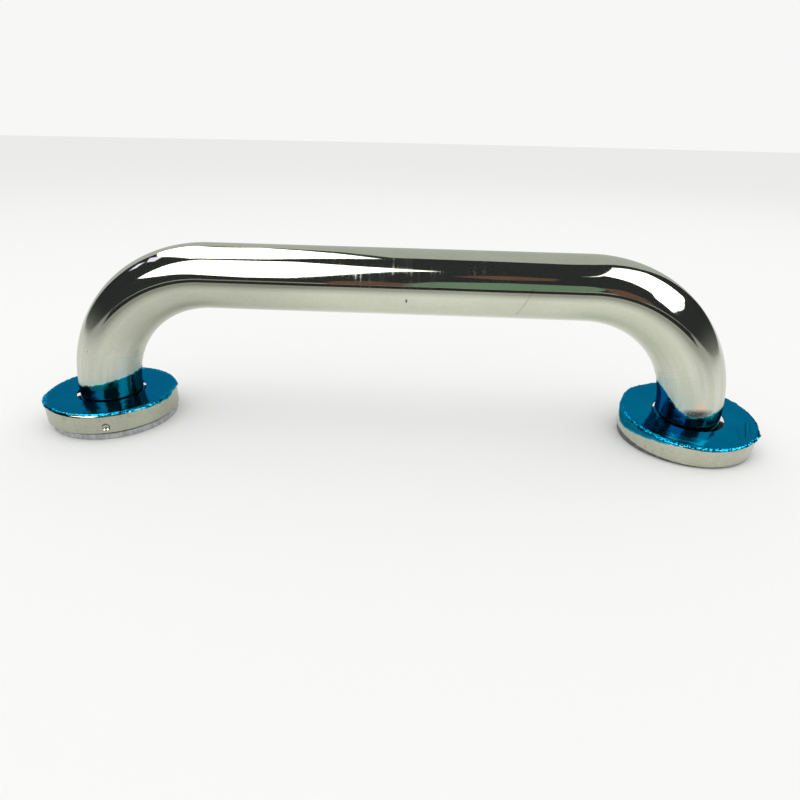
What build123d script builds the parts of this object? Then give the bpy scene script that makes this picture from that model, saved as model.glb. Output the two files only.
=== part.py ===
from build123d import *
import math
import os

# Short stainless grab bar: one bent tube welded to two round mounting flanges,
# with a loose stamped cover hiding each flange. Millimetres, +Z away from the wall.
# Origin: on the wall plane, midway between the two feet.

# ---- tube
TUBE_OD = 38.0
TUBE_WALL = 1.2
LEG_SPACING = 375.0
BAR_HEIGHT = 95.0
BEND_RADIUS = 77.0

# ---- mounting flange
FLANGE_DIA = 77.2
FLANGE_THICKNESS = 4.0
FLANGE_EDGE_BREAK = 0.4
TUBE_STANDOFF = 0.5
SCREW_CIRCLE_DIA = 59.0
SCREW_HOLE_DIA = 7.0
SCREW_HOLE_COUNT = 3
FIRST_SCREW_ANGLE = 90.0
WELD_LEG = 3.0
WELD_THROAT = 1.26
DRILL_LENGTH = 12.0

# ---- cover
COVER_OD = 80.6
COVER_HEIGHT = 12.3
COVER_SHEET = 0.7
COVER_EDGE_RADIUS = 2.0
COVER_HOLE_DIA = 42.0
DIMPLE_COUNT = 2
DIMPLE_HEIGHT = 3.9
DIMPLE_DEPTH = 1.3
DIMPLE_SPHERE_RADIUS = 3.6
LEFT_DIMPLE_ANGLE = -70.0
RIGHT_DIMPLE_ANGLE = -24.0

# ---- how loosely each cover sits: its middle's place from the leg's foot, and its lean about X
LEFT_COVER_PLACE = (-0.4, 0.0, 5.2)
RIGHT_COVER_PLACE = (0.4, 0.3, 5.6)
LEFT_COVER_LEAN = 0.0
RIGHT_COVER_LEAN = 6.2

# ---- protective film
FILM_THICKNESS = 0.1
COVER_FILM_DIA = 76.6
TUBE_FILM_START = 7.5
TUBE_FILM_BEND_ANGLE = 25.0
LEFT_FILM_TOP = 28.5
LEFT_FILM_RISE = 10.0
RIGHT_FILM_TOP = 29.0
RIGHT_FILM_RISE = 17.0
FILM_TRIM_SIZE = 150.0
FILM_TRIM_HEIGHT = 76.0

SIDES = {"left": -1, "right": 1}
COVER_PLACE = {"left": LEFT_COVER_PLACE, "right": RIGHT_COVER_PLACE}
COVER_LEAN = {"left": LEFT_COVER_LEAN, "right": RIGHT_COVER_LEAN}
DIMPLE_ANGLE = {"left": LEFT_DIMPLE_ANGLE, "right": RIGHT_DIMPLE_ANGLE}
FILM_TOP = {"left": LEFT_FILM_TOP, "right": RIGHT_FILM_TOP}
FILM_RISE = {"left": LEFT_FILM_RISE, "right": RIGHT_FILM_RISE}


def foot_location(side):
    return Location((SIDES[side] * LEG_SPACING / 2, 0, 0))


def cover_location(side):
    return foot_location(side) * Pos(*COVER_PLACE[side]) * Rot(COVER_LEAN[side], 0, 0)


def ring(outer_dia, inner_dia, z_low, z_high):
    height = z_high - z_low
    middle = (z_low + z_high) / 2
    disc = Cylinder(outer_dia / 2, height)
    disc -= Cylinder(inner_dia / 2, height + 2)
    return Pos(0, 0, middle) * disc


def tube_path():
    half = LEG_SPACING / 2
    bend_z = BAR_HEIGHT - BEND_RADIUS
    bend_x = half - BEND_RADIUS
    corner = BEND_RADIUS * math.sqrt(0.5)
    left_mid = (-bend_x - corner, 0, bend_z + corner)
    right_mid = (bend_x + corner, 0, bend_z + corner)
    edges = [
        Line((-half, 0, TUBE_STANDOFF), (-half, 0, bend_z)),
        ThreePointArc((-half, 0, bend_z), left_mid, (-bend_x, 0, BAR_HEIGHT)),
        Line((-bend_x, 0, BAR_HEIGHT), (bend_x, 0, BAR_HEIGHT)),
        ThreePointArc((bend_x, 0, BAR_HEIGHT), right_mid, (half, 0, bend_z)),
        Line((half, 0, bend_z), (half, 0, TUBE_STANDOFF)),
    ]
    return Wire(edges)


def bar_tube():
    start = Plane(origin=(-LEG_SPACING / 2, 0, TUBE_STANDOFF), z_dir=(0, 0, 1))
    wall = Circle(TUBE_OD / 2) - Circle(TUBE_OD / 2 - TUBE_WALL)
    return sweep(start * wall, path=tube_path())


def mounting_flange(side):
    plate = ring(FLANGE_DIA, TUBE_OD, 0, FLANGE_THICKNESS)
    rims = plate.edges().filter_by(GeomType.CIRCLE)
    outer_rims = rims.filter_by(lambda edge: edge.radius > TUBE_OD / 2 + 1)
    plate = chamfer(outer_rims, FLANGE_EDGE_BREAK)
    for index in range(SCREW_HOLE_COUNT):
        angle = FIRST_SCREW_ANGLE + index * 360 / SCREW_HOLE_COUNT
        drill = Cylinder(SCREW_HOLE_DIA / 2, DRILL_LENGTH)
        plate -= Rot(0, 0, angle) * Pos(SCREW_CIRCLE_DIA / 2, 0, 0) * drill
    return foot_location(side) * plate


def weld_bead(side):
    inner = TUBE_OD / 2
    base = FLANGE_THICKNESS
    toe = inner + WELD_LEG
    crown = base + WELD_LEG
    outline = [
        Line((inner, 0, base), (toe, 0, base)),
        ThreePointArc(
            (toe, 0, base), (inner + WELD_THROAT, 0, base + WELD_THROAT), (inner, 0, crown)
        ),
        Line((inner, 0, crown), (inner, 0, base)),
    ]
    bead = revolve(make_face(outline), axis=Axis.Z, revolution_arc=360)
    return foot_location(side) * bead


def cover_shell():
    outer = COVER_OD / 2
    inner = outer - COVER_SHEET
    hole = COVER_HOLE_DIA / 2
    top = COVER_HEIGHT
    under = top - COVER_SHEET
    radius = COVER_EDGE_RADIUS
    inner_radius = radius - COVER_SHEET
    outer_mid = radius * (1 - math.sqrt(0.5))
    inner_mid = inner_radius * (1 - math.sqrt(0.5))
    outline = [
        Line((hole, 0, top), (outer - radius, 0, top)),
        ThreePointArc(
            (outer - radius, 0, top), (outer - outer_mid, 0, top - outer_mid), (outer, 0, top - radius)
        ),
        Line((outer, 0, top - radius), (outer, 0, 0)),
        Line((outer, 0, 0), (inner, 0, 0)),
        Line((inner, 0, 0), (inner, 0, under - inner_radius)),
        ThreePointArc(
            (inner, 0, under - inner_radius),
            (inner - inner_mid, 0, under - inner_mid),
            (inner - inner_radius, 0, under),
        ),
        Line((inner - inner_radius, 0, under), (hole, 0, under)),
        Line((hole, 0, under), (hole, 0, top)),
    ]
    return revolve(make_face(outline), axis=Axis.Z, revolution_arc=360)


def press_dimple(shell, angle):
    bump_centre = COVER_OD / 2 - COVER_SHEET - DIMPLE_DEPTH + DIMPLE_SPHERE_RADIUS
    place = Rot(0, 0, angle) * Pos(bump_centre, 0, DIMPLE_HEIGHT)
    bump = place * Sphere(DIMPLE_SPHERE_RADIUS)
    dent = place * Sphere(DIMPLE_SPHERE_RADIUS - COVER_SHEET)
    skin = Pos(0, 0, COVER_HEIGHT / 2) * Cylinder(COVER_OD / 2 - COVER_SHEET / 2, COVER_HEIGHT)
    return shell + (bump & skin) - dent


def cover(side):
    shell = cover_shell()
    for index in range(DIMPLE_COUNT):
        shell = press_dimple(shell, DIMPLE_ANGLE[side] + index * 360 / DIMPLE_COUNT)
    return cover_location(side) * shell


def cover_film(side):
    film = ring(COVER_FILM_DIA, COVER_HOLE_DIA, COVER_HEIGHT, COVER_HEIGHT + FILM_THICKNESS)
    return cover_location(side) * film


def leg_path(side):
    sign = SIDES[side]
    foot_x = sign * LEG_SPACING / 2
    bend_z = BAR_HEIGHT - BEND_RADIUS
    centre_x = foot_x - sign * BEND_RADIUS

    def bend_point(angle):
        turn = math.radians(angle)
        x = centre_x + sign * BEND_RADIUS * math.cos(turn)
        return (x, 0, bend_z + BEND_RADIUS * math.sin(turn))

    straight = Line((foot_x, 0, TUBE_FILM_START), (foot_x, 0, bend_z))
    middle = bend_point(TUBE_FILM_BEND_ANGLE / 2)
    bend = ThreePointArc(bend_point(0), middle, bend_point(TUBE_FILM_BEND_ANGLE))
    return Wire([straight, bend])


def tube_film(side):
    foot_x = SIDES[side] * LEG_SPACING / 2
    start = Plane(origin=(foot_x, 0, TUBE_FILM_START), z_dir=(0, 0, 1))
    wall = Circle(TUBE_OD / 2 + FILM_THICKNESS) - Circle(TUBE_OD / 2)
    sleeve = sweep(start * wall, path=leg_path(side))
    torn_edge = Pos(foot_x, 0, FILM_TOP[side]) * Rot(0, SIDES[side] * FILM_RISE[side], 0)
    above = Pos(0, 0, FILM_TRIM_HEIGHT / 2) * Box(FILM_TRIM_SIZE, FILM_TRIM_SIZE, FILM_TRIM_HEIGHT)
    return sleeve - torn_edge * above


os.makedirs("parts", exist_ok=True)
export_step(bar_tube(), "parts/bar_tube.step")
for side in SIDES:
    export_step(mounting_flange(side), f"parts/{side}_mounting_flange.step")
    export_step(weld_bead(side), f"parts/{side}_weld_bead.step")
    export_step(cover(side), f"parts/{side}_cover.step")
    export_step(cover_film(side), f"parts/{side}_cover_film.step")
    export_step(tube_film(side), f"parts/{side}_tube_film.step")
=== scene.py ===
import bpy
import math
from mathutils import Matrix, Vector, noise

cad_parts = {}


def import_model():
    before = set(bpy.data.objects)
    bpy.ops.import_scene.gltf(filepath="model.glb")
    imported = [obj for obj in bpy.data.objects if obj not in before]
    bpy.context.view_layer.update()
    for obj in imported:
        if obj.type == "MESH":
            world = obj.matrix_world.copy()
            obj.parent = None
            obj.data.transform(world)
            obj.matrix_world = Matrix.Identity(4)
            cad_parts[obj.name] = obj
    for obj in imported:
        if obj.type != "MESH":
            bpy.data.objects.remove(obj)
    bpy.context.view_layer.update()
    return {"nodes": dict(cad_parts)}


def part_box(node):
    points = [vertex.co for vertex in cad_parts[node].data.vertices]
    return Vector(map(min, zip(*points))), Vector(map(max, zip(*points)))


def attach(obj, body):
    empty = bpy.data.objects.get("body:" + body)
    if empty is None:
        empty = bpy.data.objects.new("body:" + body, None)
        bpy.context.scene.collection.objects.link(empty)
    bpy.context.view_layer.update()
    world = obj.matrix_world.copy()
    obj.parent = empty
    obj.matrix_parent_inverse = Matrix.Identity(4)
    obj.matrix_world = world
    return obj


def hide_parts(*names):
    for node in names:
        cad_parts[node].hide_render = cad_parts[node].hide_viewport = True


# Looks for a polished grab bar. Metres, +Z away from the wall, +X along the grip.

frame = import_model()

# ---- sizes that the frame's boxes don't give
MM = 0.001
BEND_RADIUS = 77 * MM
TUBE_WALL = 1.2 * MM
TUBE_END_CHAMFER = 0.15 * MM
COVER_HEIGHT = 12.3 * MM
COVER_HOLE_RADIUS = 21.0 * MM
COVER_EDGE_RADIUS = 2.0 * MM
COVER_LEAN = {"left": 0.0, "right": math.radians(6.2)}
FILM_THICKNESS = 0.1 * MM

# ---- camera
CAMERA_PLACE = Vector((0.0139, -0.3282, 0.1707))
CAMERA_AZIMUTH = math.radians(2.66)
CAMERA_ELEVATION = math.radians(27.18)
CAMERA_ROLL = math.radians(1.27)
LENS = 24.95
SENSOR_WIDTH = 36.0
SHIFT_X = 0.0114
SHIFT_Y = 0.0271

# ---- marks on the tube: how far along it from the left foot, then towards the outer side
# of its bends, then towards its front. A spot is a middle and three half sizes.
TUBE_MIDDLE = 0.249
LEGS_FROM = 0.150
LEGS_FULL = 0.200
MILKY_FROM = 0.168
MILKY_FULL = 0.212
RING_SCRATCHES = ((0.252, 0.008, 0.017), (0.085, 0.020, 0.014))
PIT = ((0.2556, -0.0068, 0.0177), (0.0008, 0.0017, 0.0017))
GLUE_MARK = ((0.4728, -0.0040, 0.0190), (0.0042, 0.0130, 0.0060))
# WARM_GLINT_SPOT is a painted reflection: a warm glint painted into the tube's colour on the right leg.
WARM_GLINT_SPOT = ((0.4692, -0.0012, 0.0190), (0.0050, 0.0042, 0.0055))
UPPER_SCRATCH = ((0.3258, 0.0030, 0.0188), (0.3219, -0.0064, 0.0179))
LOWER_SCRATCH = ((0.3222, -0.0056, 0.0182), (0.3186, -0.0136, 0.0133))
SCRATCH_WIDTH = 0.0009

# ---- tones: light and dark for a plate; main, deep and torn edge for a film
PLATE_TONES_RIGHT_IN_PAINTED_SHADE = {
    "left": ((0.62, 0.65, 0.65, 1), (0.38, 0.40, 0.40, 1)),
    # The right plate's tones are painted shade: a darker copy of the left plate's steel, so that it reads
    # as in shadow.
    "right": ((0.20, 0.21, 0.21, 1), (0.09, 0.09, 0.09, 1)),
}
COVER_FILM_TONES = ((0.001, 0.275, 0.50, 1), (0.001, 0.235, 0.44, 1), (0.03, 0.52, 0.80, 1))
TUBE_FILM_TONES = ((0.006, 0.245, 0.205, 1), (0.003, 0.150, 0.140, 1), (0.05, 0.40, 0.46, 1))

# ---- film on the covers: angles in degrees round the cover from +X, lengths in mm
DRAPE = 1.9
DRAPE_BUMPS = {
    "left": ((18, 10, 1.2), (225, 14, 0.9), (345, 26, 1.3), (262, 20, -1.1)),
    "right": ((325, 9, 1.3),),
}
FLAP_LENGTH = 7.0
FLAP_FROM = 158
FLAP_TO = 246
FLAP_RAMP_IN = 22
FLAP_RAMP_OUT = 56
STIFF_CORNERS = {"left": ((18, 13), (212, 16)), "right": ((326, 7), (136, 14))}
STIFF_SHARE = 0.85

# Each crease runs from one point to another on the cover's top and has a height.
CREASES = {
    "left": [
        (-9.3, -21.6, -4.9, -27.9, 0.05),
        (11.0, -22.0, 13.0, -32.0, 0.06),
        (-34.0, -6.0, -27.0, -17.0, 0.05),
        (22.0, 12.0, 33.0, 5.0, 0.06),
        (16.0, -20.0, 27.0, -24.0, 0.05),
    ],
    "right": [
        (24.5, -10.0, 18.5, -31.0, 0.12),
        (33.0, -5.0, 21.5, -30.0, 0.14),
        (35.5, -6.5, 25.5, -27.0, 0.10),
        (30.5, 5.0, 33.5, 1.5, 0.10),
        (-30.0, -19.5, -20.5, -16.5, 0.12),
        (-20.5, -16.5, -18.0, -26.5, 0.10),
        (-31.0, -8.0, -22.5, -11.0, 0.07),
        (-20.0, -28.5, -8.0, -33.5, 0.09),
        (7.5, -23.0, -1.5, -33.0, 0.08),
    ],
}

# ---- studio
DOME_RADIUS = 2.0
DOME_CENTRE = Vector((0, 0, 0.06))
FLOOR_COLOUR = (0.89, 0.89, 0.885, 1)
PALE_ROOM = (0.93, 0.93, 0.925, 1)
DARK_ROOM = (0.006, 0.008, 0.012, 1)

# Colour and strength of what the steel reflects.
WINDOW = ((1.0, 1.0, 1.0), 3.0)
PANE = ((0.8, 0.75, 1.0), 1.5)
PALE_WALL = ((0.97, 1.0, 0.99), 0.52)
GREEN_BOARD = ((0.34, 0.56, 0.39), 0.47)
LOW_BOARD = ((0.62, 0.27, 0.17), 0.24)
HIGH_BOARD = ((0.62, 0.27, 0.18), 0.24)
RIGHT_BOARD = ((0.62, 0.30, 0.20), 0.22)
DARK_PANEL = ((0.003, 0.004, 0.006), 1.0)
DARK_PANEL_Y = -0.44
DARK_PANEL_LEFT = -0.60
DARK_PANEL_RIGHT = 0.55
DARK_PANEL_LOW = 0.001
DARK_PANEL_HIGH = 0.070


# ------------------------------------------------------------------ node helpers


class Nodes:
    """A short way to write a material's node tree."""

    def __init__(self, name):
        self.material = bpy.data.materials.new(name)
        self.material.use_nodes = True
        self.tree = self.material.node_tree
        self.tree.nodes.clear()
        self.output = self.tree.nodes.new("ShaderNodeOutputMaterial")

    def put(self, socket, value):
        if isinstance(value, bpy.types.NodeSocket):
            self.tree.links.new(value, socket)
        else:
            socket.default_value = value

    def add(self, kind, settings=None, **inputs):
        node = self.tree.nodes.new(kind)
        for key, value in (settings or {}).items():
            setattr(node, key, value)
        for key, value in inputs.items():
            self.put(node.inputs[key.replace("_", " ")], value)
        return node

    def place(self):
        return self.add("ShaderNodeTexCoord").outputs["Object"]

    def straightened(self):
        return self.add("ShaderNodeAttribute", {"attribute_name": "straight"}).outputs["Vector"]

    def stretch(self, vector, scale, turn=(0, 0, 0)):
        node = self.add("ShaderNodeMapping", Vector=vector)
        node.inputs["Scale"].default_value = scale
        node.inputs["Rotation"].default_value = turn
        return node.outputs["Vector"]

    def noise(self, vector, scale, detail=2.0, roughness=0.5, distortion=0.0):
        node = self.add("ShaderNodeTexNoise", Vector=vector, Scale=scale, Detail=detail)
        node.inputs["Roughness"].default_value = roughness
        node.inputs["Distortion"].default_value = distortion
        return node.outputs["Fac"]

    def cells(self, vector, scale, feature="F1"):
        node = self.add("ShaderNodeTexVoronoi", {"feature": feature}, Vector=vector, Scale=scale)
        return node.outputs["Distance"]

    def span(self, value, low, high, out_low=0.0, out_high=1.0):
        node = self.add("ShaderNodeMapRange", Value=value)
        ends = {"From Min": low, "From Max": high, "To Min": out_low, "To Max": out_high}
        for key, number in ends.items():
            node.inputs[key].default_value = number
        return node.outputs["Result"]

    def soft_span(self, value, low, high):
        """Nought to one between two values, with no kink at either end."""
        node = self.add("ShaderNodeMapRange", {"interpolation_type": "SMOOTHERSTEP"}, Value=value)
        node.inputs["From Min"].default_value = low
        node.inputs["From Max"].default_value = high
        return node.outputs["Result"]

    def math(self, operation, first, second=0.0):
        node = self.add("ShaderNodeMath", {"operation": operation})
        self.put(node.inputs[0], first)
        self.put(node.inputs[1], second)
        return node.outputs[0]

    def mix_colour(self, factor, first, second):
        node = self.add("ShaderNodeMix", {"data_type": "RGBA"})
        self.put(node.inputs["Factor"], factor)
        self.put(node.inputs[6], first)
        self.put(node.inputs[7], second)
        return node.outputs[2]

    def bump(self, height, strength, distance, normal=None):
        node = self.add("ShaderNodeBump", Height=height, Strength=strength, Distance=distance)
        if normal is not None:
            self.put(node.inputs["Normal"], normal)
        return node.outputs["Normal"]

    def vector_math(self, operation, first, second=(0, 0, 0)):
        node = self.add("ShaderNodeVectorMath", {"operation": operation})
        self.put(node.inputs[0], first)
        self.put(node.inputs[1], second)
        gives_number = operation in ("DOT_PRODUCT", "LENGTH")
        return node.outputs["Value" if gives_number else "Vector"]

    def product(self, *values):
        result = values[0]
        for value in values[1:]:
            result = self.math("MULTIPLY", result, value)
        return result

    def spot(self, vector, centre, size):
        """One inside an ellipsoid, falling softly to nothing at its edge."""
        away = self.vector_math("SUBTRACT", vector, centre)
        scaled = self.vector_math("DIVIDE", away, size)
        return self.span(self.vector_math("LENGTH", scaled), 0.35, 1.0, 1.0, 0.0)

    def scratch(self, vector, start, end, width):
        """One on a thin straight line between two points."""
        start, end = Vector(start), Vector(end)
        along = end - start
        away = self.vector_math("SUBTRACT", vector, tuple((start + end) / 2))
        run = self.vector_math("DOT_PRODUCT", away, tuple(along.normalized()))
        aside = self.vector_math("CROSS_PRODUCT", away, tuple(along.normalized()))
        thin = self.span(self.vector_math("LENGTH", aside), width * 0.3, width, 1.0, 0.0)
        held = self.span(self.math("ABSOLUTE", run), along.length * 0.4, along.length * 0.5, 1.0, 0.0)
        return self.product(thin, held)

    def finish(self, shader):
        self.tree.links.new(shader.outputs[0], self.output.inputs["Surface"])
        return self.material


def grey(value):
    return (value, value, value, 1)


# ------------------------------------------------------------------ materials


class TubeMarks:
    """The patterns, patches and marks that the tube's colour, roughness and bumps share."""

    def __init__(self, n):
        along = n.straightened()
        self.haze = n.noise(n.stretch(along, (26, 60, 60)), 1.0, 5.0, 0.65)
        self.mottle = n.noise(along, 750.0, 3.0, 0.6)
        self.waves = n.noise(n.stretch(along, (20, 34, 34)), 1.0, 1.0)

        self.rings = n.noise(n.stretch(along, (620, 14, 14)), 1.0, 3.0, 0.65)
        self.ring_zone = n.spot(along, *RING_SCRATCHES)
        ring_patch = n.span(n.noise(n.stretch(along, (70, 60, 60)), 1.0, 3.0, 0.6), 0.42, 0.62)
        self.ring_lines = n.product(n.span(self.rings, 0.48, 0.72), self.ring_zone, ring_patch)

        distance = n.add("ShaderNodeSeparateXYZ", Vector=along).outputs["X"]
        from_middle = n.math("ABSOLUTE", n.math("SUBTRACT", distance, TUBE_MIDDLE))
        self.on_legs = n.span(from_middle, LEGS_FROM, LEGS_FULL)
        self.near_feet = n.soft_span(from_middle, MILKY_FROM, MILKY_FULL)
        leg_streaks = n.noise(n.stretch(along, (20, 330, 330)), 1.0, 2.0)
        self.streaks = n.product(self.on_legs, n.span(leg_streaks, 0.42, 0.66, 0.0, 0.6))

        specks = n.span(n.cells(along, 120.0), 0.05, 0.025)
        speck_zone = n.span(n.noise(along, 45.0, 2.0), 0.57, 0.62)
        self.dirt = n.product(specks, speck_zone)
        self.pit = n.spot(along, *PIT)
        upper = n.scratch(along, *UPPER_SCRATCH, SCRATCH_WIDTH)
        lower = n.scratch(along, *LOWER_SCRATCH, SCRATCH_WIDTH)
        self.long_scratch = n.math("MAXIMUM", upper, lower)
        self.glue = n.product(n.spot(along, *GLUE_MARK), n.span(self.mottle, 0.22, 0.45))
        self.warm_glint = n.spot(along, *WARM_GLINT_SPOT)


def tube_tone(n, marks):
    bright = (0.71, 0.735, 0.60, 1)
    hazy = (0.63, 0.655, 0.53, 1)
    mottled = (0.55, 0.57, 0.46, 1)
    streaked = (0.80, 0.80, 0.72, 1)
    scratched = (0.30, 0.31, 0.26, 1)
    warm_glint_tone = (1.0, 0.66, 0.44, 1)
    glued = (0.025, 0.045, 0.045, 1)
    dirty = (0.12, 0.12, 0.10, 1)
    tone = n.mix_colour(n.span(marks.haze, 0.35, 0.7), bright, hazy)
    tone = n.mix_colour(n.span(marks.mottle, 0.35, 0.7, 0.0, 0.35), tone, mottled)
    tone = n.mix_colour(marks.streaks, tone, streaked)
    tone = n.mix_colour(n.math("MULTIPLY", marks.long_scratch, 0.45), tone, scratched)
    # Painted reflection: a warm orange glint mixed into the tube's colour.
    tone = n.mix_colour(n.math("MULTIPLY", marks.warm_glint, 0.75), tone, warm_glint_tone)
    tone = n.mix_colour(n.math("MULTIPLY", marks.glue, 0.9), tone, glued)
    return n.mix_colour(n.math("MAXIMUM", marks.dirt, marks.pit), tone, dirty)


def tube_roughness(n, marks):
    rough = n.span(marks.haze, 0.35, 0.75, 0.03, 0.07)
    rough = n.math("ADD", rough, n.math("MULTIPLY", marks.ring_lines, 0.26))
    leg_haze = n.product(marks.on_legs, n.span(marks.haze, 0.42, 0.66))
    rough = n.math("ADD", rough, n.math("MULTIPLY", leg_haze, 0.10))
    rough = n.math("MAXIMUM", rough, n.math("MULTIPLY", marks.near_feet, 0.34))
    matt = n.math("MAXIMUM", marks.glue, marks.pit)
    return n.math("MAXIMUM", rough, n.math("MULTIPLY", matt, 0.5))


def tube_bumps(n, marks):
    normal = n.bump(marks.waves, 0.25, 0.6 * MM)
    normal = n.bump(n.product(marks.rings, marks.ring_zone), 0.10, 0.03 * MM, normal)
    normal = n.bump(marks.mottle, 0.04, 0.05 * MM, normal)
    return n.bump(n.math("MAXIMUM", marks.pit, marks.dirt), 0.4, -0.2 * MM, normal)


def polished_tube_material():
    """Mirror bright along the grip, milky towards the feet."""
    n = Nodes("polished_tube")
    marks = TubeMarks(n)
    shader = n.add("ShaderNodeBsdfPrincipled", Base_Color=tube_tone(n, marks))
    n.put(shader.inputs["Roughness"], tube_roughness(n, marks))
    n.put(shader.inputs["Normal"], tube_bumps(n, marks))
    n.put(shader.inputs["Metallic"], n.math("SUBTRACT", 0.97, n.math("MULTIPLY", marks.near_feet, 0.47)))
    return n.finish(shader)


def inside_of_cover(n, place, centre_x):
    """One on the faces that point at the leg or at the wall."""
    facing = n.add("ShaderNodeNewGeometry").outputs["Normal"]
    outward = n.vector_math("SUBTRACT", place, (centre_x, 0, 0))
    outward = n.vector_math("MULTIPLY", outward, (1, 1, 0))
    outward = n.vector_math("NORMALIZE", outward)
    inward_face = n.span(n.vector_math("DOT_PRODUCT", facing, outward), -0.7, -0.3, 1.0, 0.0)
    under_face = n.span(n.vector_math("DOT_PRODUCT", facing, (0, 0, 1)), -0.7, -0.3, 1.0, 0.0)
    return n.math("MAXIMUM", inward_face, under_face)


def polished_cover_material(side, centre_x):
    """Mirror outside; dull inside, where the faces are also painted dark as shade."""
    n = Nodes("polished_cover_" + side)
    place = n.place()
    inside = inside_of_cover(n, place, centre_x)
    haze = n.noise(place, 70.0, 4.0, 0.6)
    mottle = n.noise(place, 800.0, 3.0, 0.6)
    low_wear = n.noise(n.stretch(place, (300, 300, 160)), 1.0, 3.0, 0.6)
    speck_zone = n.span(n.noise(place, 130.0, 1.0), 0.52, 0.60)
    specks = n.product(n.span(n.cells(place, 300.0), 0.07, 0.035), speck_zone)
    lines = n.noise(n.stretch(place, (60, 60, 1600)), 1.0, 2.0)
    tone = n.mix_colour(n.span(haze, 0.35, 0.7), (0.66, 0.675, 0.545, 1), (0.57, 0.58, 0.465, 1))
    tone = n.mix_colour(n.span(mottle, 0.35, 0.7, 0.0, 0.5), tone, (0.48, 0.485, 0.39, 1))
    tone = n.mix_colour(n.span(low_wear, 0.60, 0.72, 0.0, 0.6), tone, (0.40, 0.37, 0.30, 1))
    tone = n.mix_colour(specks, tone, (0.20, 0.17, 0.13, 1))
    # Painted shade: the faces inside the cover, pointing at the leg or the wall, are mixed near black.
    colour = n.mix_colour(inside, tone, (0.055, 0.055, 0.05, 1))
    rough = n.span(haze, 0.3, 0.75, 0.05, 0.13)
    rough = n.math("MAXIMUM", rough, n.math("MULTIPLY", inside, 0.6))
    normal = n.bump(haze, 0.08, 0.3 * MM)
    normal = n.bump(mottle, 0.05, 0.06 * MM, normal)
    normal = n.bump(lines, 0.04, 0.05 * MM, normal)
    shader = n.add("ShaderNodeBsdfPrincipled", Base_Color=colour, Metallic=1.0, Normal=normal)
    n.put(shader.inputs["Roughness"], rough)
    return n.finish(shader)


def flange_material(side, light, dark):
    n = Nodes("flange_steel_" + side)
    place = n.place()
    grain = n.noise(place, 900.0, 4.0, 0.7)
    blotch = n.noise(place, 260.0, 3.0, 0.6)
    saw_marks = n.noise(n.stretch(place, (420, 420, 60)), 1.0, 2.0)
    colour = n.mix_colour(n.span(blotch, 0.35, 0.65), light, dark)
    colour = n.mix_colour(n.span(grain, 0.55, 0.8), colour, (0.80, 0.83, 0.83, 1))
    colour = n.mix_colour(n.span(saw_marks, 0.60, 0.70, 0.0, 0.5), colour, dark)
    # Painted shade: the upward faces are mixed nearly black, so the plate reads dark inside the cover.
    facing = n.add("ShaderNodeNewGeometry").outputs["Normal"]
    painted_shade_on_top = n.span(n.vector_math("DOT_PRODUCT", facing, (0, 0, 1)), 0.8, 0.95)
    colour = n.mix_colour(painted_shade_on_top, colour, (0.035, 0.036, 0.036, 1))
    normal = n.bump(grain, 0.5, 0.25 * MM)
    shader = n.add("ShaderNodeBsdfPrincipled", Base_Color=colour, Metallic=0.6, Normal=normal)
    n.put(shader.inputs["Roughness"], n.span(grain, 0.3, 0.7, 0.38, 0.62))
    return n.finish(shader)


def weld_material():
    n = Nodes("weld_steel")
    place = n.place()
    grain = n.noise(place, 500.0, 4.0, 0.65)
    colour = n.mix_colour(n.span(grain, 0.35, 0.7), (0.42, 0.40, 0.37, 1), (0.16, 0.14, 0.12, 1))
    normal = n.bump(grain, 0.7, 0.4 * MM)
    shader = n.add("ShaderNodeBsdfPrincipled", Base_Color=colour, Metallic=0.9, Normal=normal)
    shader.inputs["Roughness"].default_value = 0.45
    return n.finish(shader)


def film_tone(n, place, tones, blotch, hanging_shade_share, left_shade_and_streak_share):
    """Blotched blue, with painted shade where it hangs down, where it faces left and along its folds, and
    pale streaks on the tube's film.
    """
    base, deep, torn_edge = tones
    hanging_shade_blue = (0.010, 0.115, 0.165, 1)
    left_side_shade_navy = (0.001, 0.045, 0.150, 1)
    pale_streak = (0.10, 0.42, 0.36, 1)
    facing = n.add("ShaderNodeSeparateXYZ", Vector=n.add("ShaderNodeNewGeometry").outputs["Normal"])
    tone = n.mix_colour(n.span(blotch, 0.35, 0.7), base, deep)
    # Painted shade: the film's fold lines are mixed darker.
    tone = n.mix_colour(n.math("MULTIPLY", film_folds(n, place), 0.6), tone, (0.0, 0.10, 0.26, 1))
    # Painted shade: film whose faces point down is mixed darker, in patches.
    patches = n.span(n.noise(n.stretch(place, (160, 160, 40)), 1.0, 3.0), 0.40, 0.62, 0.55, 0.95)
    hanging_shade = n.product(n.span(facing.outputs["Z"], 0.15, 0.40, 1.0, 0.0), patches)
    tone = n.mix_colour(n.math("MULTIPLY", hanging_shade, hanging_shade_share), tone, hanging_shade_blue)
    # Painted shade: film facing left is mixed navy; the same share also scales the pale streaks.
    shaded_left_side = n.span(facing.outputs["X"], -0.25, 0.25, 1.0, 0.0)
    tone = n.mix_colour(n.math("MULTIPLY", shaded_left_side, left_shade_and_streak_share), tone, left_side_shade_navy)
    streaks = n.span(n.noise(n.stretch(place, (150, 150, 6)), 1.0, 2.0), 0.60, 0.68)
    tone = n.mix_colour(n.math("MULTIPLY", streaks, left_shade_and_streak_share), tone, pale_streak)
    return n.mix_colour(n.math("MULTIPLY", torn_share(n), 0.85), tone, torn_edge)


def film_folds(n, place):
    """Thin straight folds, in patches."""
    crease = n.cells(n.stretch(place, (55, 38, 55), (0, 0, 0.7)), 1.0, "DISTANCE_TO_EDGE")
    crease_zone = n.span(n.noise(place, 28.0, 1.0), 0.56, 0.64)
    return n.product(n.span(crease, 0.0, 0.015, 1.0, 0.0), crease_zone)


def torn_share(n):
    """One at a film's torn edge, nothing inside."""
    return n.add("ShaderNodeAttribute", {"attribute_name": "torn"}).outputs["Fac"]


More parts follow.
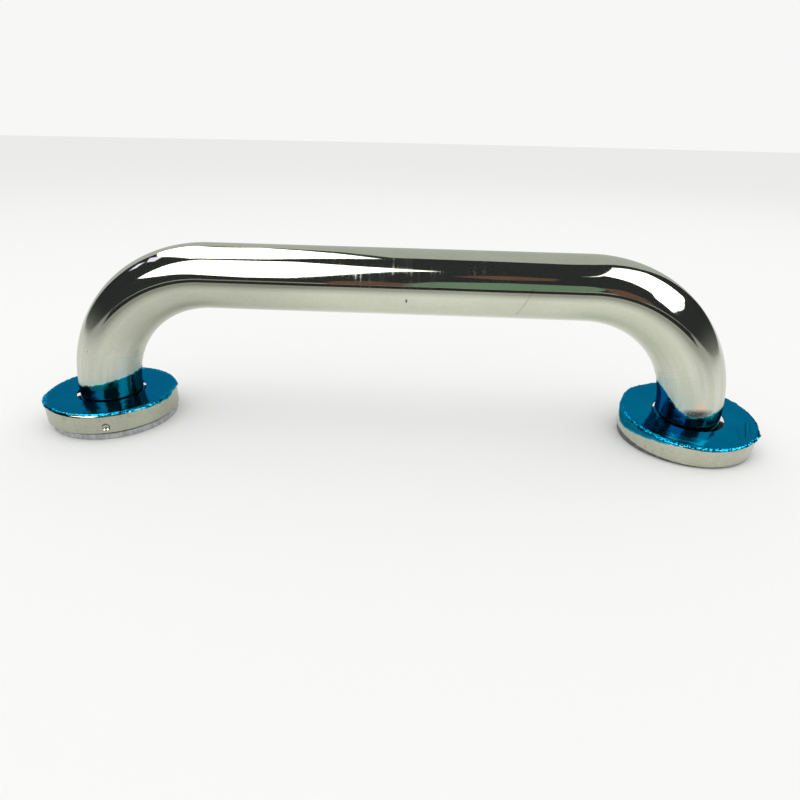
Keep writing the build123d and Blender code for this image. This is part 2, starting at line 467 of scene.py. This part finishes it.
def blue_film_material(name, tones, hanging_shade_share=0.0, left_shade_and_streak_share=0.0):
    """Tinted film tight on mirror steel, so the colour is the metal's own."""
    n = Nodes(name)
    place = n.place()
    blotch = n.noise(place, 45.0, 3.0, 0.6)
    fine = n.noise(place, 900.0, 2.0)
    tone = film_tone(n, place, tones, blotch, hanging_shade_share, left_shade_and_streak_share)
    edge_matt = n.math("MULTIPLY", torn_share(n), 0.08)
    rough = n.math("ADD", n.span(blotch, 0.3, 0.7, 0.08, 0.15), edge_matt)
    normal = n.bump(blotch, 0.10, 0.5 * MM)
    normal = n.bump(film_folds(n, place), 0.30, 0.12 * MM, normal)
    normal = n.bump(fine, 0.03, 0.05 * MM, normal)
    shader = n.add("ShaderNodeBsdfPrincipled", Base_Color=tone, Metallic=0.98, Normal=normal)
    shader.inputs["Specular Tint"].default_value = (0.05, 0.45, 0.60, 1)
    n.put(shader.inputs["Roughness"], rough)
    return n.finish(shader)


def floor_material():
    """Plain and pale. What the steel and film reflect of it is painted darker towards both sides and the
    front, as shade seen only in reflections.
    """
    n = Nodes("pale_floor")
    where = n.add("ShaderNodeSeparateXYZ", Vector=n.place())
    # Painted shade for reflections: glossy rays see the floor darker towards the front and the sides.
    front = n.span(where.outputs["Y"], -0.27, -0.12, 0.46, 1.0)
    left = n.span(where.outputs["X"], -0.13, -0.02, 0.74, 1.0)
    right = n.span(where.outputs["X"], 0.08, 0.20, 1.0, 0.88)
    reflection_shade = n.product(front, left, right)
    reflected = n.add("ShaderNodeLightPath").outputs["Is Glossy Ray"]
    shade = n.math("ADD", n.math("MULTIPLY", reflected, reflection_shade), n.math("SUBTRACT", 1.0, reflected))
    colour = n.mix_colour(shade, grey(0.0), FLOOR_COLOUR)
    shader = n.add("ShaderNodeBsdfPrincipled", Base_Color=colour, Roughness=0.6)
    shader.inputs["Specular IOR Level"].default_value = 0.0
    return n.finish(shader)


# ------------------------------------------------------------------ mesh helpers


def new_object(name, points, faces, smooth=True):
    mesh = bpy.data.meshes.new(name)
    mesh.from_pydata([tuple(p) for p in points], [], faces)
    mesh.validate()
    mesh.polygons.foreach_set("use_smooth", [smooth] * len(mesh.polygons))
    mesh.update()
    piece = bpy.data.objects.new(name, mesh)
    bpy.context.scene.collection.objects.link(piece)
    return piece


def loop_faces(rows, columns, closed_rows=False):
    """Quads between rows of closed rings; rows follow each other in the order of the points."""
    faces = []
    last = rows if closed_rows else rows - 1
    for i in range(last):
        for j in range(columns):
            k = (j + 1) % columns
            below = i * columns
            above = ((i + 1) % rows) * columns
            faces.append((below + j, below + k, above + k, above + j))
    return faces


def store_vectors(piece, name, vectors):
    layer = piece.data.attributes.new(name, "FLOAT_VECTOR", "POINT")
    layer.data.foreach_set("vector", [number for vector in vectors for number in vector])


def store_numbers(piece, name, numbers):
    layer = piece.data.attributes.new(name, "FLOAT", "POINT")
    layer.data.foreach_set("value", numbers)


def ragged(seed, angle, coarse, fine):
    """A repeatable uneven edge round a circle: large slow waves and small torn nicks."""
    around = Vector((math.cos(angle), math.sin(angle), seed * 3.7))
    slow = noise.noise(around * 1.3)
    quick = noise.noise(around * 9.0)
    nick = noise.noise(around * 34.0)
    return coarse * slow + fine * (0.6 * quick + 0.4 * nick)


# ------------------------------------------------------------------ the tube


class TubeLine:
    """The tube's centre line: leg, bend, grip, bend, leg, measured in metres along it."""

    def __init__(self, low, high):
        self.radius = high.y
        self.half = high.x - self.radius
        self.foot_z = low.z
        self.top_z = high.z - self.radius
        self.leg = self.top_z - BEND_RADIUS - self.foot_z
        self.arc = BEND_RADIUS * math.pi / 2
        self.grip = 2 * (self.half - BEND_RADIUS)
        self.length = 2 * self.leg + 2 * self.arc + self.grip

    def at(self, s):
        """Centre and outward normal (in the bar's plane) at a distance s from the left foot."""
        if s > self.length / 2:
            centre, outward = self.at(self.length - s)
            return Vector((-centre.x, 0, centre.z)), Vector((-outward.x, 0, outward.z))
        if s < self.leg:
            return Vector((-self.half, 0, self.foot_z + s)), Vector((-1, 0, 0))
        bend_z = self.top_z - BEND_RADIUS
        if s < self.leg + self.arc:
            turn = (s - self.leg) / BEND_RADIUS
            outward = Vector((-math.cos(turn), 0, math.sin(turn)))
            corner = Vector((-self.half + BEND_RADIUS, 0, bend_z))
            return corner + outward * BEND_RADIUS, outward
        run = s - self.leg - self.arc
        return Vector((-self.half + BEND_RADIUS + run, 0, self.top_z)), Vector((0, 0, 1))

    def point(self, s, turn, radius):
        """A point on a ring round the line. Turn 0 is the outer side of the bends, 90 degrees is -Y."""
        centre, outward = self.at(s)
        return centre + (outward * math.cos(turn) - Vector((0, 1, 0)) * math.sin(turn)) * radius


def bar_tube(line):
    columns = 128
    rows = 420
    points = []
    straight = []

    def ring(s, radius):
        for j in range(columns):
            turn = 2 * math.pi * j / columns
            points.append(line.point(s, turn, radius))
            straight.append((s, radius * math.cos(turn), radius * math.sin(turn)))

    edge = TUBE_END_CHAMFER
    inner = line.radius - TUBE_WALL
    stations = [edge + (line.length - 2 * edge) * i / (rows - 1) for i in range(rows)]
    ring(0, line.radius - edge)
    for s in stations:
        ring(s, line.radius)
    ring(line.length, line.radius - edge)
    for s in reversed(stations[::4] + [line.length]):
        ring(s, inner)
    ring(0, inner)
    total = len(points) // columns
    piece = new_object("tube", points, loop_faces(total, columns, closed_rows=True))
    store_vectors(piece, "straight", straight)
    return piece


# ------------------------------------------------------------------ protective film


def film_sheet(name, rows_of_points, columns, torn, place=None):
    points = [p for row in rows_of_points for p in row]
    if place is not None:
        points = [place @ p for p in points]
    piece = new_object(name, points, loop_faces(len(rows_of_points), columns))
    store_numbers(piece, "torn", torn)
    solid = piece.modifiers.new("thickness", "SOLIDIFY")
    solid.thickness = FILM_THICKNESS
    solid.offset = 1.0
    return piece


def cover_place(side, low, high):
    """The cover's own frame: the middle of its open rim, with the lean about X."""
    lean = COVER_LEAN[side]
    radius = (high.x - low.x) / 2
    middle = Vector((
        (low.x + high.x) / 2,
        high.y - radius * math.cos(lean),
        low.z + radius * math.sin(lean),
    ))
    return Matrix.Translation(middle) @ Matrix.Rotation(lean, 4, "X"), radius


def skin_profile(radius, length):
    """How far out, how high and how turned the cover's outside is, a length out along its skin."""
    flat = radius - COVER_EDGE_RADIUS
    quarter = COVER_EDGE_RADIUS * math.pi / 2
    if length <= flat:
        return length, COVER_HEIGHT, 0.0
    if length <= flat + quarter:
        turn = (length - flat) / COVER_EDGE_RADIUS
        return (flat + COVER_EDGE_RADIUS * math.sin(turn),
                COVER_HEIGHT - COVER_EDGE_RADIUS * (1 - math.cos(turn)), turn)
    return radius, COVER_HEIGHT - COVER_EDGE_RADIUS - (length - flat - quarter), math.pi / 2


def unit(value):
    """The value, held between nought and one."""
    return min(1.0, max(0.0, value))


def bell(turn, middle, width):
    """One at the middle, falling smoothly to nothing on both sides."""
    return math.exp(-((turn - middle) / width) ** 2)


def crease_height(x, y, creases):
    """Sum of the sharp little ridges folded into a film, all in mm."""
    total = 0.0
    for ax, ay, bx, by, height in creases:
        along = Vector((bx - ax, by - ay))
        held = unit(Vector((x - ax, y - ay)).dot(along) / along.length_squared)
        away = math.hypot(x - ax - along.x * held, y - ay - along.y * held)
        fade = min(1.0, 4 * held + 0.1, 4 * (1 - held) + 0.1)
        total += height * fade * math.exp(-((away / 0.45) ** 2))
    return total


def drape(side, angle):
    """How far the film hangs beyond the flat top, in metres along the cover's skin."""
    turn = math.degrees(angle) % 360
    length = DRAPE
    if side == "right":
        rise = unit((FLAP_TO - turn) / FLAP_RAMP_OUT)
        fall = unit((turn - FLAP_FROM) / FLAP_RAMP_IN)
        length += FLAP_LENGTH * rise * fall
    for middle, width, extra in DRAPE_BUMPS[side]:
        length += extra * bell(turn, middle, width)
    return length * MM


def stiffness(side, angle):
    """One where a torn corner sticks straight out instead of following the rolled edge."""
    turn = math.degrees(angle) % 360
    return max(bell(turn, middle, width) for middle, width in STIFF_CORNERS[side])


def film_lift(side, x, y, length, near_edge, seed):
    """How far the film stands off the cover, in mm: soft waves, creases and a crumpled edge."""
    spot = Vector((x, y, length * 0.7)) / MM
    crumple = 0.5 + 0.5 * noise.noise(spot * 0.55 + Vector((0, 0, seed * 9.1)))
    crumple += 0.35 * noise.noise(spot * 1.3 + Vector((seed * 3.3, 0, 0)))
    soft = 0.5 + 0.5 * noise.noise(spot * 0.09 + Vector((0, 0, seed)))
    lift = 0.03 + 0.05 * soft + 0.62 * max(0.0, crumple) * near_edge
    return lift + crease_height(x / MM, y / MM, CREASES[side]) * (1 - near_edge)


def film_point(side, angle, length, radius, seed):
    """A point of the film a length out along the cover's skin."""
    out, up, turn = skin_profile(radius, length)
    stiff = STIFF_SHARE * stiffness(side, angle)
    out += (length - out) * stiff
    up += (COVER_HEIGHT - up) * stiff
    turn *= 1 - stiff
    x = math.cos(angle) * out
    y = math.sin(angle) * out
    near_edge = unit((length - radius + COVER_EDGE_RADIUS + 1.6 * MM) / (2.4 * MM))
    off = film_lift(side, x, y, length, near_edge, seed) * MM
    return Vector((
        x + math.cos(angle) * math.sin(turn) * off,
        y + math.sin(angle) * math.sin(turn) * off,
        up + math.cos(turn) * off,
    ))


def cover_film(side, place, radius, seed):
    """The film on a cover's flat top, with a torn and crumpled outline that hangs over the rolled edge."""
    columns = 720
    rows = 84
    flat = radius - COVER_EDGE_RADIUS
    rows_of_points = []
    torn = []
    for i in range(rows):
        share = (i / (rows - 1)) ** 0.8
        row = []
        for j in range(columns):
            angle = 2 * math.pi * j / columns
            inside = COVER_HOLE_RADIUS + ragged(seed, angle, 0.15 * MM, 0.12 * MM)
            limit = flat + drape(side, angle) + ragged(seed + 1, angle, 0.5 * MM, 1.0 * MM)
            length = inside + (limit - inside) * share
            row.append(film_point(side, angle, length, radius, seed))
            torn.append(max(0.0, 1 - (limit - length) / (1.4 * MM)))
        rows_of_points.append(row)
    return film_sheet(side + "_film_on_cover", rows_of_points, columns, torn, place)


def tube_film(side, sign, line, start_z, height):
    """Film left round the tube, from inside the cover up to a torn edge at height(turn), in metres."""
    columns = 300
    rows = 40
    rows_of_points = []
    torn = []
    start = start_z - line.foot_z
    for i in range(rows):
        share = i / (rows - 1)
        row = []
        for j in range(columns):
            turn = 2 * math.pi * j / columns * -sign
            top = height(turn) - line.foot_z
            s = start + (top - start) * share
            spot = Vector((math.cos(turn) * 19, math.sin(turn) * 19, s / MM))
            crumple = max(0.0, noise.noise(spot * 0.3 + Vector((0, 0, 7 * sign))))
            lift = (0.03 + 0.08 * crumple + 0.3 * crumple * share ** 6) * MM
            if sign > 0:
                s = line.length - s
            row.append(line.point(s, turn, line.radius + lift))
            torn.append(max(0.0, 1 - (top - start) * (1 - share) / (1.1 * MM)))
        rows_of_points.append(row)
    return film_sheet(side + "_film_on_tube", rows_of_points, columns, torn)


# Turn 0 is the outer side of the leg, 90 degrees the front.


def left_film_height(turn):
    inner_side = max(0.0, -math.cos(turn)) ** 1.6
    return (28.2 - 5.4 * math.cos(turn) + 4.0 * inner_side) * MM + ragged(5, turn, 1.0 * MM, 1.3 * MM)


def right_film_height(turn):
    inner_side = max(0.0, -math.cos(turn)) ** 3.2
    outer_side = max(0.0, math.cos(turn))
    return (23.2 + 22.5 * inner_side + 4.0 * outer_side) * MM + ragged(8, turn, 0.8 * MM, 1.3 * MM)


# ------------------------------------------------------------------ studio


def dome_point(azimuth, elevation):
    """Azimuth 0 is +Y, 90 is +X, in degrees."""
    a = math.radians(azimuth)
    e = math.radians(elevation)
    direction = Vector((math.sin(a) * math.cos(e), math.cos(a) * math.cos(e), math.sin(e)))
    return DOME_CENTRE + direction * DOME_RADIUS


def reflected_panel(name, look, points):
    """A glowing panel that only shows in reflections."""
    colour, strength = look
    piece = new_object(name, points, [tuple(range(len(points)))], smooth=False)
    n = Nodes(name)
    shader = n.add("ShaderNodeEmission", Color=(*colour, 1), Strength=strength)
    piece.data.materials.append(n.finish(shader))
    piece.visible_camera = False
    piece.visible_shadow = False
    piece.visible_diffuse = False


def card(name, look, corners):
    """A panel on the dome, between corners given as azimuth and elevation."""
    reflected_panel(name, look, [dome_point(a, e) for a, e in corners])


def studio_cards():
    card("window_above_left", WINDOW, [
        (-58, 85), (-25, 70), (-24, 56), (-26, 47), (-36, 50), (-37, 38),
        (-40, 22), (-70, 42), (-119, 57), (-126, 62), (-127, 69), (-97, 81),
    ])
    card("window_front_left", WINDOW, [
        (-119, 26), (-122, 43), (-133, 58), (-145, 66), (-165, 61), (-177, 56), (176, 52),
        (-177, 48), (-171, 33), (-168, 23), (-165, 13), (-160, 11), (-155, 14), (-140, 19),
    ])
    card("window_right", WINDOW, [
        (153, 46), (141, 53), (90, 63), (78, 55), (69, 44), (73, 34), (78, 26),
        (94, 26), (126, 16), (136, 9), (137, 18), (132, 27), (134, 39), (143, 50),
    ])
    card("pane_low", PANE, [(-80, 33), (-75, 28), (-68, 31), (-72, 36)])
    card("pane_high", PANE, [(-87, 43), (-77, 38), (-63, 35), (-74, 46)])
    card("pale_wall", PALE_WALL, [
        (-64, -1), (-62, 18), (-52, 33), (-36, 42), (-22, 48), (-17, 59), (-17, 80),
        (50, 79), (78, 73), (70, 66), (57, 42), (48, 20), (44, -1),
    ])
    card("green_board", GREEN_BOARD, [
        (-179, -3), (-179, 7), (178, 16), (169, 20), (160, 17), (157, 10), (160, 0), (170, -2),
    ])
    card("brown_board_low", LOW_BOARD, [(-169, -9), (-170, 8), (-175, 12), (-179, 8), (-179, -4)])
    card("brown_board_high", HIGH_BOARD, [(175, 37), (167, 43), (160, 38), (162, 31), (169, 30)])
    card("brown_board_right", RIGHT_BOARD, [(158, 14), (152, 14), (147, 9), (147, 1), (156, -3)])


def dark_front():
    """A low dark panel where a person would stand, so that the table ends in a dark line."""
    reflected_panel("dark_front", DARK_PANEL, [
        (DARK_PANEL_LEFT, DARK_PANEL_Y, DARK_PANEL_LOW),
        (DARK_PANEL_RIGHT, DARK_PANEL_Y, DARK_PANEL_LOW),
        (DARK_PANEL_RIGHT, DARK_PANEL_Y, DARK_PANEL_HIGH),
        (DARK_PANEL_LEFT, DARK_PANEL_Y, DARK_PANEL_HIGH),
    ])


def soft_light(name, place, size, power):
    data = bpy.data.lights.new(name, "AREA")
    data.shape = "DISK"
    data.size = size
    data.energy = power
    light = bpy.data.objects.new(name, data)
    light.location = place
    light.rotation_euler = (DOME_CENTRE - Vector(place)).to_track_quat("-Z", "Y").to_euler()
    light.visible_glossy = False
    bpy.context.scene.collection.objects.link(light)


def world():
    """A pale soft dome of light, with a dark room in it for the polished steel to reflect."""
    scene_world = bpy.data.worlds.new("room")
    bpy.context.scene.world = scene_world
    scene_world.use_nodes = True
    tree = scene_world.node_tree
    tree.nodes.clear()
    output = tree.nodes.new("ShaderNodeOutputWorld")
    mix = tree.nodes.new("ShaderNodeMixShader")
    path = tree.nodes.new("ShaderNodeLightPath")
    dark = tree.nodes.new("ShaderNodeBackground")
    dark.inputs["Color"].default_value = DARK_ROOM
    pale = tree.nodes.new("ShaderNodeBackground")
    pale.inputs["Color"].default_value = PALE_ROOM
    tree.links.new(path.outputs["Is Glossy Ray"], mix.inputs[0])
    tree.links.new(pale.outputs[0], mix.inputs[1])
    tree.links.new(dark.outputs[0], mix.inputs[2])
    tree.links.new(mix.outputs[0], output.inputs["Surface"])


def floor():
    rings = [0.0, 0.3, 0.8, 2.0, 6.0, 20.0]
    columns = 48
    points = [Vector((0, 0, 0))]
    for radius in rings[1:]:
        for j in range(columns):
            angle = 2 * math.pi * j / columns
            points.append(Vector((radius * math.cos(angle), radius * math.sin(angle), 0)))
    faces = [(0, 1 + j, 1 + (j + 1) % columns) for j in range(columns)]
    faces += [tuple(1 + k for k in face) for face in loop_faces(len(rings) - 1, columns)]
    piece = new_object("floor", points, faces, smooth=False)
    piece.data.materials.append(floor_material())


def camera():
    data = bpy.data.cameras.new("camera")
    data.lens = LENS
    data.sensor_width = SENSOR_WIDTH
    data.shift_x = SHIFT_X
    data.shift_y = SHIFT_Y
    piece = bpy.data.objects.new("camera", data)
    bpy.context.scene.collection.objects.link(piece)
    level = math.cos(CAMERA_ELEVATION)
    back = Vector((
        math.sin(CAMERA_AZIMUTH) * level,
        -math.cos(CAMERA_AZIMUTH) * level,
        math.sin(CAMERA_ELEVATION),
    ))
    flat_right = Vector((0, 0, 1)).cross(back).normalized()
    flat_up = back.cross(flat_right)
    right = flat_right * math.cos(CAMERA_ROLL) + flat_up * math.sin(CAMERA_ROLL)
    up = back.cross(right)
    turn = Matrix((right, up, back)).transposed()
    piece.matrix_world = Matrix.Translation(CAMERA_PLACE) @ turn.to_4x4()
    bpy.context.scene.camera = piece


# ------------------------------------------------------------------ the object


def give(piece, material):
    piece.data.materials.clear()
    piece.data.materials.append(material)


bpy.context.scene.view_settings.view_transform = "Standard"
world()
floor()
camera()
studio_cards()
dark_front()
soft_light("key", (-0.5, -0.4, 1.8), 1.6, 5)
soft_light("fill", (0.9, 0.8, 1.5), 1.4, 2)

tube_steel = polished_tube_material()
weld_steel = weld_material()
cover_blue = blue_film_material("blue_film_on_cover", COVER_FILM_TONES, hanging_shade_share=1.0)
tube_blue = blue_film_material("blue_film_on_tube", TUBE_FILM_TONES, left_shade_and_streak_share=0.7)
film_heights = {"left": left_film_height, "right": right_film_height}

tube_line = TubeLine(*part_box("bar_tube"))
tube = bar_tube(tube_line)
give(tube, tube_steel)
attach(tube, "bar")
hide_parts("bar_tube")

for seed, (side, sign) in enumerate((("left", -1), ("right", 1)), start=2):
    give(frame["nodes"][side + "_cover"], polished_cover_material(side, sign * tube_line.half))
    give(frame["nodes"][side + "_mounting_flange"], flange_material(side, *PLATE_TONES_RIGHT_IN_PAINTED_SHADE[side]))
    give(frame["nodes"][side + "_weld_bead"], weld_steel)

    sheet = cover_film(side, *cover_place(side, *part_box(side + "_cover")), seed)
    give(sheet, cover_blue)
    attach(sheet, side + "_cover")
    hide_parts(side + "_cover_film")

    band_low, band_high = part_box(side + "_tube_film")
    band = tube_film(side, sign, tube_line, band_low.z, film_heights[side])
    give(band, tube_blue)
    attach(band, "bar")
    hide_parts(side + "_tube_film")
